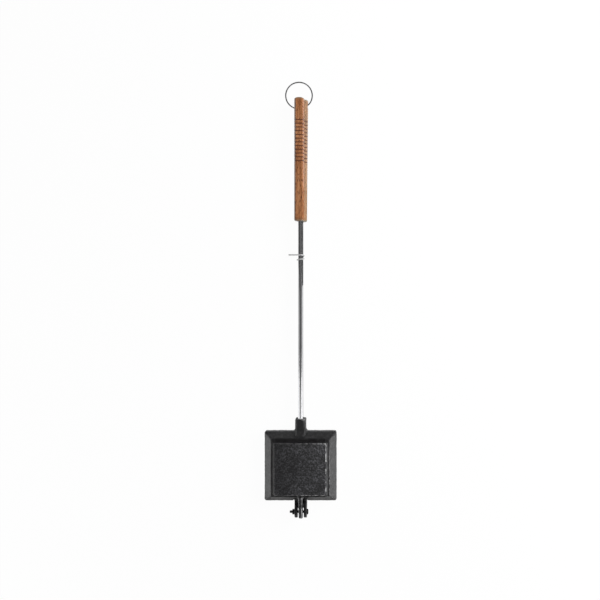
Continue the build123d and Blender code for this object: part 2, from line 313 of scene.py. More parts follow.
def smudgeGroup():
    # slow cloudy variation for roughness and tint, 0 to 1
    tree, start, end = newGroup(
        "smudge",
        [("Vector", "NodeSocketVector", (0, 0, 0)), ("Size", "NodeSocketFloat", 40.0)],
        ["Mask"],
    )
    cloud = addNode(tree, "ShaderNodeTexNoise", {"Detail": 5.0, "Roughness": 0.6, "Distortion": 0.4})
    level = addNode(tree, "ShaderNodeMapRange", {"From Min": 0.3, "From Max": 0.7})
    link(tree, start, "Vector", cloud, "Vector")
    link(tree, start, "Size", cloud, "Scale")
    link(tree, cloud, "Fac", level, "Value")
    link(tree, level, "Result", end, "Mask")
    return tree


def streakGroup():
    # noise drawn out along Y: draw lines on bar, grain and pores in wood
    tree, start, end = newGroup(
        "streaks",
        [("Vector", "NodeSocketVector", (0, 0, 0)), ("Fineness", "NodeSocketFloat", 2500.0),
         ("Stretch", "NodeSocketVector", (1.0, 0.05, 1.0)), ("Detail", "NodeSocketFloat", 2.0)],
        ["Lines"],
    )
    squeeze = addNode(tree, "ShaderNodeMapping")
    lines = addNode(tree, "ShaderNodeTexNoise", {"Roughness": 0.6, "Distortion": 0.3})
    link(tree, start, "Vector", squeeze, "Vector")
    link(tree, start, "Stretch", squeeze, "Scale")
    link(tree, squeeze, "Vector", lines, "Vector")
    link(tree, start, "Fineness", lines, "Scale")
    link(tree, start, "Detail", lines, "Detail")
    link(tree, lines, "Fac", end, "Lines")
    return tree


sandSkin = sandGroup()
smudge = smudgeGroup()
streaks = streakGroup()
print("node groups ready")


def mixColour(tree, factor, output, low, high):
    # the mask picks between two colours, either of them plain or another node's
    mix = addNode(tree, "ShaderNodeMix", data_type="RGBA")
    link(tree, factor, output, mix, "Factor")
    for socket, value in (("A", low), ("B", high)):
        if isinstance(value, tuple) and isinstance(value[0], bpy.types.Node):
            link(tree, value[0], value[1], mix, socket)
        else:
            mix.inputs[socket].default_value = value
    return mix


def setRoughness(tree, shader, factor, output, low, high):
    rough = addNode(tree, "ShaderNodeMapRange", {"To Min": low, "To Max": high})
    link(tree, factor, output, rough, "Value")
    link(tree, rough, "Result", shader, "Roughness")


def setBump(tree, shader, source, output, strength, distance):
    bump = addNode(tree, "ShaderNodeBump", {"Strength": strength, "Distance": distance})
    link(tree, source, output, bump, "Height")
    link(tree, bump, "Normal", shader, "Normal")


def castIron(name, settings):
    # seasoned grey-black iron, read from three attributes of the mesh: one grades pale specks that are painted
    # glints off the sand-cast grain, one marks worn edges that also carry painted glints, and one is painted shade
    # that darkens and dulls the recesses and the side away from the light
    material, tree, shader, coords = newMaterial(name)
    sand = useGroup(tree, sandSkin, coords, Grain=settings["grain"], Swell=settings["swell"])
    cloud = useGroup(tree, smudge, coords, Size=settings["cloud"])
    fine = mixColour(tree, sand, "Tone", settings["dark"], settings["mid"])
    # pale specks: painted glints off the sand-cast grain, strong on the face
    speck = addNode(tree, "ShaderNodeAttribute", attribute_name="speck")
    glintSpots = addNode(tree, "ShaderNodeMath", operation="MULTIPLY")
    link(tree, sand, "Patch", glintSpots, 0)
    link(tree, speck, "Fac", glintSpots, 1)
    coarse = mixColour(tree, glintSpots, "Value", (fine, "Result"), settings["pale"])
    coarse.blend_type = "SCREEN"
    faded = mixColour(tree, cloud, "Mask", (coarse, "Result"), settings["cloudTint"])
    faded.blend_type = "MULTIPLY"
    # worn edges, lightened also as painted glints where the light catches them, mostly on the right
    rub = addNode(tree, "ShaderNodeAttribute", attribute_name="rub")
    worn = mixColour(tree, rub, "Fac", (faded, "Result"), settings["worn"])
    # painted shade: a darker colour and a duller reflection in the step, beside the ears, on the sockets and on
    # the face's left
    soot = addNode(tree, "ShaderNodeAttribute", attribute_name="soot")
    shadedColour = mixColour(tree, soot, "Fac", (worn, "Result"), settings["soot"])
    link(tree, shadedColour, "Result", shader, "Base Color")
    glossRange = {"To Min": settings["gloss"], "To Max": settings["sootGloss"]}
    gloss = addNode(tree, "ShaderNodeMapRange", glossRange)
    link(tree, soot, "Fac", gloss, "Value")
    link(tree, gloss, "Result", shader, "Specular IOR Level")
    setRoughness(tree, shader, cloud, "Mask", *settings["rough"])
    setBump(tree, shader, sand, "Height", settings["bump"], settings["relief"])
    return material


def platedSteel(name, settings):
    # bright plated bar or wire with faint draw lines
    material, tree, shader, coords = newMaterial(name)
    lines = useGroup(tree, streaks, coords, Fineness=plating["fineness"], Stretch=settings["stretch"])
    cloud = useGroup(tree, smudge, coords, Size=plating["cloud"])
    shader.inputs["Metallic"].default_value = settings["metal"]
    dull = tuple(plating["dulled"] * channel for channel in settings["colour"][:3]) + (1.0,)
    tint = mixColour(tree, cloud, "Mask", dull, settings["colour"])
    link(tree, tint, "Result", shader, "Base Color")
    setRoughness(tree, shader, cloud, "Mask", *settings["rough"])
    setBump(tree, shader, lines, "Lines", settings["bump"], plating["relief"])
    return material


def gripWood(name, settings):
    # oiled hardwood: long grain and short dark pores; one attribute of the mesh greys it, as painted shade and
    # sheen over the whole lower grip and greyer towards each end, and its cut attribute chars the grooves
    material, tree, shader, coords = newMaterial(name)
    grain = useGroup(tree, streaks, coords, **settings["grainLines"])
    band = useGroup(tree, smudge, coords, Size=settings["bandSize"])
    ramp = addRamp(tree, settings["grain"])
    link(tree, grain, "Lines", ramp, "Fac")
    banded = mixColour(tree, band, "Mask", (ramp, "Color"), settings["band"])
    banded.blend_type = "MULTIPLY"
    pore = useGroup(tree, streaks, coords, **settings["poreLines"])
    poreStart, poreStop = settings["poreRange"]
    poreLevels = {"From Min": poreStart, "From Max": poreStop, "To Min": 1.0, "To Max": 0.0}
    poreMask = addNode(tree, "ShaderNodeMapRange", poreLevels)
    link(tree, pore, "Lines", poreMask, "Value")
    pored = mixColour(tree, poreMask, "Result", (banded, "Result"), settings["pore"])
    weathered = addNode(tree, "ShaderNodeAttribute", attribute_name="weathered")
    # greyer: painted shade and sheen over the lower grip, and greyer towards each end
    greyed = mixColour(tree, weathered, "Fac", (pored, "Result"), settings["silver"])
    cut = addNode(tree, "ShaderNodeAttribute", attribute_name="cut")
    burnt = mixColour(tree, cut, "Fac", (greyed, "Result"), settings["burnt"])
    link(tree, burnt, "Result", shader, "Base Color")
    shader.inputs["Coat Weight"].default_value = settings["coat"]
    shader.inputs["Coat Roughness"].default_value = settings["coatRough"]
    setRoughness(tree, shader, grain, "Lines", *settings["rough"])
    poreBump = {"Strength": settings["bump"], "Distance": settings["relief"]}
    bump = addNode(tree, "ShaderNodeBump", poreBump, invert=True)
    link(tree, poreMask, "Result", bump, "Height")
    link(tree, bump, "Normal", shader, "Normal")
    return material


def blackSteel(name, settings):
    # black-oxide fastener with a slight brown cast
    material, tree, shader, coords = newMaterial(name)
    cloud = useGroup(tree, smudge, coords, Size=settings["cloud"])
    tint = mixColour(tree, cloud, "Mask", settings["dark"], settings["pale"])
    link(tree, tint, "Result", shader, "Base Color")
    shader.inputs["Metallic"].default_value = settings["metal"]
    setRoughness(tree, shader, cloud, "Mask", *settings["rough"])
    return material


# iron colours: pale paints the glint specks, worn is edge wear with painted glints, and the near-black colour with
# its low gloss is painted shade
ironLook = {
    "grain": 900.0, "swell": 430.0, "cloud": 60.0, "bump": 1.0, "relief": 0.0003, "cloudTint": grey(0.22),
    "dark": srgb(6, 5, 6), "mid": srgb(24, 24, 26), "pale": srgb(96, 96, 100), "worn": srgb(225, 225, 226),
    "soot": srgb(18, 17, 18), "gloss": 0.9, "sootGloss": 0.25, "rough": (0.34, 0.46),
}
# the grey tint colours the lower grip's painted shade and sheen and the greyer ends
woodLook = {
    "grain": [(0.3, srgb(122, 76, 44)), (0.5, srgb(162, 110, 73)), (0.72, srgb(184, 136, 98))],
    "grainLines": {"Fineness": 380.0, "Stretch": (1.0, 0.06, 1.0), "Detail": 6.0},
    "poreLines": {"Fineness": 1100.0, "Stretch": (1.0, 0.14, 1.0), "Detail": 1.0},
    "poreRange": (0.35, 0.45), "bandSize": 18.0, "bump": 0.5, "relief": 0.0002,
    "band": srgb(242, 228, 208), "pore": srgb(84, 45, 25), "burnt": srgb(90, 50, 30),
    "silver": srgb(128, 124, 104), "coat": 0.8, "coatRough": 0.28, "rough": (0.36, 0.56),
}
plating = {"fineness": 2500.0, "cloud": 60.0, "dulled": 0.85, "relief": 0.00003}
rodLook = {
    "metal": 1.0, "colour": srgb(222, 222, 224), "rough": (0.12, 0.18), "bump": 0.04,
    "stretch": (1.0, 0.01, 1.0),
}
springLook = {
    "metal": 0.55, "colour": srgb(222, 222, 222), "rough": (0.2, 0.3), "bump": 0.05,
    "stretch": (0.02, 1.0, 1.0),
}
ringLook = {
    "metal": 1.0, "colour": srgb(168, 168, 170), "rough": (0.25, 0.38), "bump": 0.05,
    "stretch": (0.1, 0.1, 1.0),
}
fastenerLook = {
    "cloud": 300.0, "dark": srgb(14, 13, 14), "pale": srgb(30, 28, 28), "metal": 0.3, "rough": (0.32, 0.5),
}
finishes = {
    "cast_iron": castIron("cast_iron", ironLook),
    "plated_rod": platedSteel("plated_rod", rodLook),
    "spring_wire": platedSteel("spring_wire", springLook),
    "ring_wire": platedSteel("ring_wire", ringLook),
    "grip_wood": gripWood("grip_wood", woodLook),
    "hinge_steel": blackSteel("hinge_steel", fastenerLook),
}
print("materials ready")


def standIn(mesh, node, sharpAngle=40.0):
    # puts a finished mesh in place of a CAD node: its body, slot, finish and smooth shading
    piece = bpy.data.objects.new(node + "_made", mesh)
    bpy.context.scene.collection.objects.link(piece)
    mesh.materials.clear()
    mesh.materials.append(finishes[slotOf[node]])
    mesh.shade_smooth()
    mesh.set_sharp_from_angle(angle=math.radians(sharpAngle))
    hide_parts(node)
    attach(piece, bodyOf[node])
    return piece


def addLayers(mesh, layers):
    # one number per vertex for each named layer, for the materials to read
    for label, values in layers.items():
        layer = mesh.attributes.new(label, "FLOAT", "POINT")
        layer.data.foreach_set("value", values.reshape(-1).astype(np.float32))


def gridMesh(name, points, layers=None):
    # joins a grid of points (rows, columns, 3), closed round its columns, into quads; rows that meet at a
    # pole merge
    rows, columns = points.shape[:2]
    index = np.arange(rows * columns).reshape(rows, columns)
    after = np.roll(index, -1, axis=1)
    quads = np.stack([index[:-1], index[1:], after[1:], after[:-1]], axis=-1).reshape(-1, 4)
    mesh = bpy.data.meshes.new(name)
    mesh.from_pydata(points.reshape(-1, 3).tolist(), [], quads.tolist())
    addLayers(mesh, layers or {})
    work = bmesh.new()
    work.from_mesh(mesh)
    bmesh.ops.remove_doubles(work, verts=work.verts, dist=1e-6)
    bmesh.ops.dissolve_degenerate(work, edges=work.edges, dist=1e-6)
    bmesh.ops.recalc_face_normals(work, faces=work.faces)
    work.to_mesh(mesh)
    work.free()
    return mesh


def shaped(mesh, modifier, **settings):
    # the mesh with one modifier applied to it
    holder = bpy.data.objects.new("holder", mesh)
    bpy.context.scene.collection.objects.link(holder)
    step = holder.modifiers.new(modifier, modifier)
    for name, value in settings.items():
        setattr(step, name, value)
    graph = bpy.context.evaluated_depsgraph_get()
    result = bpy.data.meshes.new_from_object(holder.evaluated_get(graph))
    bpy.data.objects.remove(holder)
    return result


def readPoints(mesh):
    flat = np.empty(len(mesh.vertices) * 3)
    mesh.vertices.foreach_get("co", flat)
    return flat.reshape(-1, 3)


def readEdges(mesh):
    flat = np.empty(len(mesh.edges) * 2, dtype=np.int64)
    mesh.edges.foreach_get("vertices", flat)
    return flat.reshape(-1, 2)


def readNormals(mesh):
    flat = np.empty(len(mesh.vertices) * 3)
    mesh.vertex_normals.foreach_get("vector", flat)
    return flat.reshape(-1, 3)


def neighbourMean(values, edges, count):
    # for each vertex, the mean of a quantity over the vertices it shares an edge with
    total = np.zeros_like(values)
    np.add.at(total, edges[:, 0], values[edges[:, 1]])
    np.add.at(total, edges[:, 1], values[edges[:, 0]])
    return total / count


def smoothStep(value):
    held = np.clip(value, 0.0, 1.0)
    return held * held * (3 - 2 * held)


def turnedAxes(tiltX, tiltZ):
    # a turn about X times a turn about Z
    aboutX = np.array([[1, 0, 0], [0, np.cos(tiltX), -np.sin(tiltX)], [0, np.sin(tiltX), np.cos(tiltX)]])
    aboutZ = np.array([[np.cos(tiltZ), -np.sin(tiltZ), 0], [np.sin(tiltZ), np.cos(tiltZ), 0], [0, 0, 1]])
    return aboutX @ aboutZ


# odd angles, so that the lattice's cells don't line up with straight edges
latticeAxes = turnedAxes(0.83, 0.61)


def latticeNoise(points, cell, seed):
    # value noise from -1 to 1: hashed numbers on a turned cubic lattice, blended by a smoothstep between
    # its corners
    scaled = points @ latticeAxes / cell
    base = np.floor(scaled)
    blend = smoothStep(scaled - base)
    result = np.zeros(len(points))
    for corner in range(8):
        offset = np.array([corner & 1, corner >> 1 & 1, corner >> 2 & 1])
        hashed = np.sin((base + offset) @ np.array([127.1, 311.7, 74.7]) + seed) * 43758.5453
        weight = np.prod(np.where(offset == 1, blend, 1 - blend), axis=1)
        result += weight * (hashed - np.floor(hashed))
    return 2 * result - 1


castSkin = {
    "voxel": 0.8 * mm, "easing": 3, "ease": 0.5,
    "ripples": ((14.0 * mm, 0.12 * mm), (3.6 * mm, 0.3 * mm), (2.2 * mm, 0.2 * mm)),
    "flatBand": 0.5 * mm, "boreReach": 2.6 * mm, "boreRadius": 2.25 * mm,
}
castLevels = {
    "ledge": 13.0 * mm, "face": 18.5 * mm, "faceStart": 1.6 * mm, "faceSpan": 0.8 * mm, "rim": 6 * mm,
}
# edge wear and painted edge glints; lower on the left, away from the light
rubGlintLevels = {
    "start": 0.02, "span": 0.08, "base": 0.35, "patches": ((1.9 * mm, 1.1), (5.3 * mm, 1.0)),
    "left": 0.35, "rim": 0.35, "handleFrom": 36 * mm, "handle": 0.3, "hingeFrom": -50 * mm, "hinge": 0.45,
}
# where the painted shade falls and how strong it is: weak on the lit right side, strongest on the left of the face
paintedShadeLevels = {
    "edge": 1.2 * mm, "headHalf": 44 * mm, "headHandle": 46 * mm, "headHinge": -45 * mm,
    "sideFrom": 37 * mm, "right": 0.1, "left": 0.7,
    "earFrom": -53 * mm, "earInner": 3.4 * mm, "earSpan": 1.5 * mm, "rightEar": 0.95,
    "socketFrom": 53 * mm, "socket": 0.35, "cloud": 9 * mm, "cloudBase": 0.8, "cloudShare": 0.2,
    "face": 0.55, "driftLength": 64 * mm, "driftCloud": 14 * mm, "driftShare": 0.35,
}
# painted glint specks: faint on the flanks, strong on the face
glintSpeckLevels = {"flank": 0.15, "face": 0.85}


def remeshed(node, skin):
    # the CAD solid's surface rebuilt from even voxels
    copy = nodes[node].data.copy()
    work = bmesh.new()
    work.from_mesh(copy)
    bmesh.ops.remove_doubles(work, verts=work.verts, dist=1e-6)
    work.to_mesh(copy)
    work.free()
    return shaped(copy, "REMESH", mode="VOXEL", voxel_size=skin["voxel"], adaptivity=0.0)


def easedPoints(points, edges, count, fixed, skin):
    # each pass moves a point by ease * (its neighbours' mean - point); the parting face keeps its height
    for turn in range(skin["easing"]):
        eased = points + skin["ease"] * (neighbourMean(points, edges, count) - points)
        eased[fixed, 2] = points[fixed, 2]
        points = eased
    return points


def rubGlintMask(points, normals, edges, count, level, seed, voxel, wear):
    # worn edges with painted glints on them: (bulge - start) / span, where bulge is how far a point stands out of
    # its neighbours' mean, in voxels; it is less on the left, away from the light, at both ends and on the rim,
    # and broken up by lattice noise
    bulge = np.sum((points - neighbourMean(points, edges, count)) * normals, axis=1) / voxel
    bulge = neighbourMean(bulge[:, None], edges, count)[:, 0]
    rub = np.clip((bulge - wear["start"]) / wear["span"], 0.0, 1.0)
    byEnd = np.where(points[:, 1] > wear["handleFrom"], wear["handle"], 1.0)
    rub *= np.where(points[:, 0] > 0, 1.0, wear["left"]) * byEnd
    rub *= np.where(points[:, 1] < wear["hingeFrom"], wear["hinge"], 1.0)
    rub *= np.where(level < castLevels["rim"], wear["rim"], 1.0)
    patchy = sum(
        share * latticeNoise(points, cell, seed + 60.0 + 6.0 * layer)
        for layer, (cell, share) in enumerate(wear["patches"])
    )
    return np.clip(rub * (wear["base"] + patchy), 0.0, 1.0)


def paintedShadeMask(points, normals, level, onFace, seed, wear):
    # painted shade in the step between ledge and face, weak on the lit right side, beside the ears and on the
    # sockets, and painted shade over the face, darkest on the left and fading to the right: face * (0.5 - x /
    # driftLength + driftShare * noise)
    x, y, z = points.T
    recess = smoothStep((level - castLevels["ledge"] + wear["edge"]) / wear["edge"])
    recess *= smoothStep((castLevels["face"] - level) / wear["edge"])
    inHead = (np.abs(x) < wear["headHalf"]) & (y < wear["headHandle"]) & (y > wear["headHinge"])
    soot = np.where(inHead & (normals[:, 2] * (z - partingHeight) > 0), recess, 0.0)
    soot *= np.where(x > wear["sideFrom"], wear["right"], np.where(x < -wear["sideFrom"], wear["left"], 1.0))
    beside = smoothStep((np.abs(x) - wear["earInner"]) / wear["earSpan"])
    beside = beside * np.where(x < 0, 1.0, wear["rightEar"])
    soot = np.where(y < wear["earFrom"], beside, soot)
    soot = np.where(y > wear["socketFrom"], wear["socket"], soot)
    soot *= wear["cloudBase"] + wear["cloudShare"] * latticeNoise(points, wear["cloud"], seed + 40.0)
    drift = 0.5 - x / wear["driftLength"]
    drift = drift + wear["driftShare"] * latticeNoise(points, wear["driftCloud"], seed + 80.0)
    return np.maximum(soot, wear["face"] * onFace * np.clip(drift, 0.0, 1.0))


def sunkPoints(points, normals, fixed, seed, skin):
    # sunk along the normals by amount * (0.5 + 0.5 * noise) for each ripple size; the parting face stays flat
    depth = np.zeros(len(points))
    for layer, (cell, amount) in enumerate(skin["ripples"]):
        depth -= amount * (0.5 + 0.5 * latticeNoise(points, cell, seed + 7.0 * layer))
    depth[fixed] = 0.0
    return points + normals * depth[:, None]


def openBore(points, skin):
    # points near the hinge axis are pushed out to the bore's radius
    axis = np.array([hingeY, partingHeight])
    across = points[:, 1:] - axis
    distance = np.linalg.norm(across, axis=1)
    pushed = np.maximum(distance, skin["boreRadius"]) / np.maximum(distance, 1e-9)
    widen = np.where(distance < skin["boreReach"], pushed, 1.0)
    return np.concatenate([points[:, :1], axis + across * widen[:, None]], axis=1)


def castShell(node, seed, skin):
    # the CAD solid as a casting: remeshed, its edges eased and its skin rippled
    mesh = remeshed(node, skin)
    points = readPoints(mesh)
    edges = readEdges(mesh)
    count = np.bincount(edges.reshape(-1), minlength=len(points))[:, None]
    fixed = np.abs(points[:, 2] - partingHeight) < skin["flatBand"]
    points = easedPoints(points, edges, count, fixed, skin)
    mesh.vertices.foreach_set("co", points.reshape(-1))
    mesh.update()
    normals = readNormals(mesh)
    level = np.abs(points[:, 2] - partingHeight)
    onFace = smoothStep((level - castLevels["face"] + castLevels["faceStart"]) / castLevels["faceSpan"])
    # the layers the iron reads: edge wear with painted glints, painted shade, and painted glint specks
    addLayers(mesh, {
        "rub": rubGlintMask(points, normals, edges, count, level, seed, skin["voxel"], rubGlintLevels),
        "soot": paintedShadeMask(points, normals, level, onFace, seed, paintedShadeLevels),
        "speck": glintSpeckLevels["flank"] + glintSpeckLevels["face"] * onFace,
    })
    points = openBore(sunkPoints(points, normals, fixed, seed, skin), skin)
    mesh.vertices.foreach_set("co", points.reshape(-1))
    mesh.update()
    print(node, "shell faces", len(mesh.polygons))
    return standIn(mesh, node, 180.0)


castShell("lower_plate", 3.0, castSkin)
castShell("upper_plate", 11.0, castSkin)

rodShape = {"radius": 3.5 * mm, "chamfer": 0.6 * mm, "columns": 72, "rows": 120, "bow": 0.02 * mm}


def lathe(profile, columns):
    # a profile of (along, radius) turned about the Y axis
    angle = np.linspace(0.0, 2 * math.pi, columns, endpoint=False)
    along, radius = profile.T
    return np.stack([
        radius[:, None] * np.cos(angle),
        np.broadcast_to(along[:, None], (len(along), columns)),
        radius[:, None] * np.sin(angle),
    ], axis=-1)


def makeRod(node, shape):
    # plain bar with chamfered ends on the CAD rod's axis
    low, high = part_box(node)
    ends = np.array([low.y, high.y])
    body = np.linspace(ends[0] + shape["chamfer"], ends[1] - shape["chamfer"], shape["rows"])
    small = shape["radius"] - shape["chamfer"]
    profile = np.array(
        [(ends[0], 0.0), (ends[0], small)]
        + [(place, shape["radius"]) for place in body.tolist()]
        + [(ends[1], small), (ends[1], 0.0)]
    )
    points = lathe(profile, shape["columns"])
    points += np.array([(low.x + high.x) / 2, 0.0, (low.z + high.z) / 2])
    return standIn(gridMesh(node, points), node)


makeRod("lower_rod", rodShape)
makeRod("upper_rod", rodShape)
print("rods made")

gripShape = {
    "radius": 7.4 * mm, "length": 183.2 * mm, "flat": 5.6 * mm, "endRound": 2.0 * mm,
    "bore": 3.52 * mm, "boreDepth": 3.0 * mm, "boreChamfer": 0.5 * mm,
    "grooves": 12, "pitch": 5.53 * mm, "start": 33.3 * mm, "width": 1.3 * mm, "depth": 0.6 * mm,
    "scorch": 0.25 * mm, "endWear": 0.5, "margin": 4 * mm,
    "endRows": 9, "plainRows": 60, "groovedRows": 340, "lastRows": 20,
    "arcColumns": 88, "flatColumns": 20,
}
# the lower grip's grey level is painted shade and sheen; the upper grip has none
gripPlaces = {
    "upper_grip": {
        "facing": 1, "offset": -1.9 * mm, "skewDegrees": 0.0, "rise": 6.0 * mm, "weathering": 0.0,
    },
    "lower_grip": {
        "facing": -1, "offset": 1.5 * mm, "skewDegrees": 0.6, "rise": -6.0 * mm, "weathering": 0.35,
    },
}
drillShape = {"radius": 3.5 * mm, "reach": 0.02, "columns": 48}


def roundedEnd(shape):
    # a quarter circle from the side to the end face, as distances from the end and radii
    turn = np.linspace(0.0, math.pi / 2, shape["endRows"])
    rounding = shape["endRound"]
    return rounding * (1 - np.sin(turn)), shape["radius"] - rounding * (1 - np.cos(turn))


def gripProfile(shape):
    # (along, radius) from inside the bore's mouth, over the side with its grooves, to the middle of the free
    # end, and the scorch at each row: 1 in a groove and exp(-(distance / scorch)^2) beside it
    length, radius, rounding = shape["length"], shape["radius"], shape["endRound"]
    first = length - shape["start"] - (shape["grooves"] - 1) * shape["pitch"] - shape["margin"]
    last = length - shape["start"] + shape["margin"]
    side = np.concatenate([
        np.linspace(rounding, first, shape["plainRows"])[1:],
        np.linspace(first, last, shape["groovedRows"])[1:],
        np.linspace(last, length - rounding, shape["lastRows"])[1:-1],
    ])
    bore, chamfer = shape["bore"], shape["boreChamfer"]
    mouth = [(shape["boreDepth"], 0.0), (shape["boreDepth"], bore), (chamfer, bore), (0.0, bore + chamfer)]
    inward, edge = roundedEnd(shape)
    nearEnd = np.stack([inward, edge], axis=1)[::-1]
    farEnd = np.stack([length - inward, edge], axis=1)
    centres = length - shape["start"] - shape["pitch"] * np.arange(shape["grooves"])
    gap = np.abs(side[:, None] - centres).min(axis=1)
    notch = np.clip(1 - gap / (shape["width"] / 2), 0.0, 1.0)
    body = np.stack([side, radius - shape["depth"] * notch], axis=1)
    profile = np.concatenate([np.array(mouth), nearEnd, body, farEnd, np.array([(length, 0.0)])])
    outside = np.abs(profile[:, :1] - centres).min(axis=1) - shape["width"] / 2
    char = np.exp(-(np.clip(outside, 0, None) / shape["scorch"]) ** 2)
    char = np.where((profile[:, 0] < first) | (profile[:, 0] > last), 0.0, char)
    char[:len(mouth)] = 1.0
    return profile, char


def gripPoints(profile, shape, facing):
    # each profile radius drawn round the Y axis as an arc closed by a chord, the planed flat, which faces up
    # for +1 and down for -1; in the CAD the two grips' flats face each other instead
    radius = profile[:, 1:2]
    lean = np.arccos(np.clip(shape["flat"] / np.maximum(radius, 1e-9), -1.0, 1.0))
    lean = np.where(radius <= shape["flat"], 0.0, lean)
    arc = np.linspace(0.0, 1.0, shape["arcColumns"])
    angle = -math.pi / 2 + lean + (2 * math.pi - 2 * lean) * arc
    chord = np.linspace(0.0, 1.0, shape["flatColumns"] + 2)[1:-1]
    half = radius * np.sin(lean)
    flatX = -half + 2 * half * chord
    flatZ = np.broadcast_to(-np.minimum(radius, shape["flat"]), flatX.shape)
    x = np.concatenate([radius * np.cos(angle), flatX], axis=1)
    z = np.concatenate([radius * np.sin(angle), flatZ], axis=1)
    y = np.broadcast_to(profile[:, :1], x.shape)
    return np.stack([x, y, -facing * z], axis=-1)


def placeGrip(points, place):
    # turned about the vertical and moved onto its rod
    skew = math.radians(place["skewDegrees"])
    x = points[..., 0] * math.cos(skew) + points[..., 1] * math.sin(skew) + place["offset"]
    y = points[..., 1] * math.cos(skew) - points[..., 0] * math.sin(skew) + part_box("upper_grip")[0].y
    return np.stack([x, y, points[..., 2] + partingHeight + place["rise"]], axis=-1)


def makeGrip(node, place, shape):
    # the grey tint: the grip's painted shade and sheen level, plus more towards each end by the end share *
    # exp(-(distance / endRound)^2)
    profile, char = gripProfile(shape)
    points = placeGrip(gripPoints(profile, shape, place["facing"]), place)
    toEnd = np.minimum(profile[:, 0], shape["length"] - profile[:, 0])
    worn = place["weathering"] + shape["endWear"] * np.exp(-(toEnd / shape["endRound"]) ** 2)
    rows = {"cut": char, "weathered": worn}
    layers = {name: np.repeat(row[:, None], points.shape[1], 1) for name, row in rows.items()}
    return gridMesh(node, points, layers)


def crossHole(mesh, centre, skewDegrees, shape):
    # drills a round hole along X, turned by the grip's skew, with a boolean cut
    reach, radius = shape["reach"], shape["radius"]
    profile = np.array([(-reach, 0.0), (-reach, radius), (reach, radius), (reach, 0.0)])
    drill = lathe(profile, shape["columns"])
    skew = math.radians(skewDegrees)
    x = drill[..., 1] * math.cos(skew) + centre[0]
    y = -drill[..., 1] * math.sin(skew) + drill[..., 0] + centre[1]
    cutterMesh = gridMesh("drill", np.stack([x, y, drill[..., 2] + centre[2]], axis=-1))
    cutter = bpy.data.objects.new("drill", cutterMesh)
    bpy.context.scene.collection.objects.link(cutter)
    result = shaped(mesh, "BOOLEAN", operation="DIFFERENCE", solver="EXACT", object=cutter)
    bpy.data.objects.remove(cutter)
    return result


ringHole = jointAt["ring_swing"]["pos_m"]
upperMesh = makeGrip("upper_grip", gripPlaces["upper_grip"], gripShape)
standIn(upperMesh, "upper_grip", 32.0)
lowerMesh = makeGrip("lower_grip", gripPlaces["lower_grip"], gripShape)
lowerMesh = crossHole(lowerMesh, ringHole, gripPlaces["lower_grip"]["skewDegrees"], drillShape)
standIn(lowerMesh, "lower_grip", 32.0)
print("grips made", len(upperMesh.polygons), len(lowerMesh.polygons))


def tube(path, reference, radius, columns=24):
    # a round wire along a path: each section square to the path, turned to a fixed reference direction;
    # the cut ends are eased and closed at poles
    tangent = np.gradient(path, axis=0)
    tangent /= np.linalg.norm(tangent, axis=1)[:, None]
    side = np.cross(tangent, np.asarray(reference))
    side /= np.linalg.norm(side, axis=1)[:, None]
    up = np.cross(side, tangent)
    ease = 0.15 * radius
    radii = np.full(len(path), radius)
    radii[0] = radii[-1] = radius - ease
    centres = np.concatenate([path[:1], path, path[-1:]])
    radii = np.concatenate([[0.0], radii, [0.0]])
    side = np.concatenate([side[:1], side, side[-1:]])
    up = np.concatenate([up[:1], up, up[-1:]])
    angle = np.linspace(0.0, 2 * math.pi, columns, endpoint=False)
    return (
        centres[:, None]
        + radii[:, None, None] * np.cos(angle)[None, :, None] * side[:, None]
        + radii[:, None, None] * np.sin(angle)[None, :, None] * up[:, None]
    )


ringShape = {
    "radius": 20.0 * mm, "bar": 19.9 * mm, "bend": 2.4 * mm, "slip": 2.0 * mm, "wire": 0.995 * mm,
    "gap": 0.2 * mm,
}


def ringPath(shape):
    # a D in its own plane: straight bar, two small corner arcs and a large arc, from one wire end to the
    # other
    centre = math.sqrt(shape["radius"] ** 2 - (shape["bar"] / 2) ** 2)
    bend = shape["bend"]
    cornerX = math.sqrt((shape["radius"] - bend) ** 2 - (centre - bend) ** 2)
    turn = math.atan2(bend - centre, cornerX)
    bar = np.linspace(shape["gap"], cornerX, 14)[:-1]
    corner = np.linspace(-math.pi / 2, turn, 12)[:-1]
    bow = np.linspace(turn, math.pi - turn, 220)
    half = np.concatenate([
        np.stack([bar, np.zeros_like(bar)], axis=1),
        np.stack([cornerX + bend * np.cos(corner), bend + bend * np.sin(corner)], axis=1),
    ])
    arc = np.stack([shape["radius"] * np.cos(bow), centre + shape["radius"] * np.sin(bow)], axis=1)
    other = half[::-1] * np.array([-1.0, 1.0])
    flat = np.concatenate([half, arc, other])
    return np.column_stack([flat, np.zeros(len(flat))])


def makeRing(node, shape):
    axis = jointAt["ring_swing"]["axis"]
    along = np.array([axis[0], axis[1], 0.0])
    outward = np.array([-axis[1], axis[0], 0.0])
    path = ringPath(shape)
    placed = (path[:, :1] - shape["slip"]) * along + path[:, 1:2] * outward + np.array(ringHole)
    points = tube(placed, (0.0, 0.0, 1.0), shape["wire"])
    return standIn(gridMesh(node, points), node)


makeRing("hanging_ring", ringShape)

latchShape = {
    "radius": 4.8 * mm, "wire": 0.995 * mm, "reach": 16.8 * mm, "overlap": 3.2 * mm, "bend": 2.2 * mm,
    "turns": 1.38, "drop": 7.3 * mm, "back": 1.8 * mm,
}


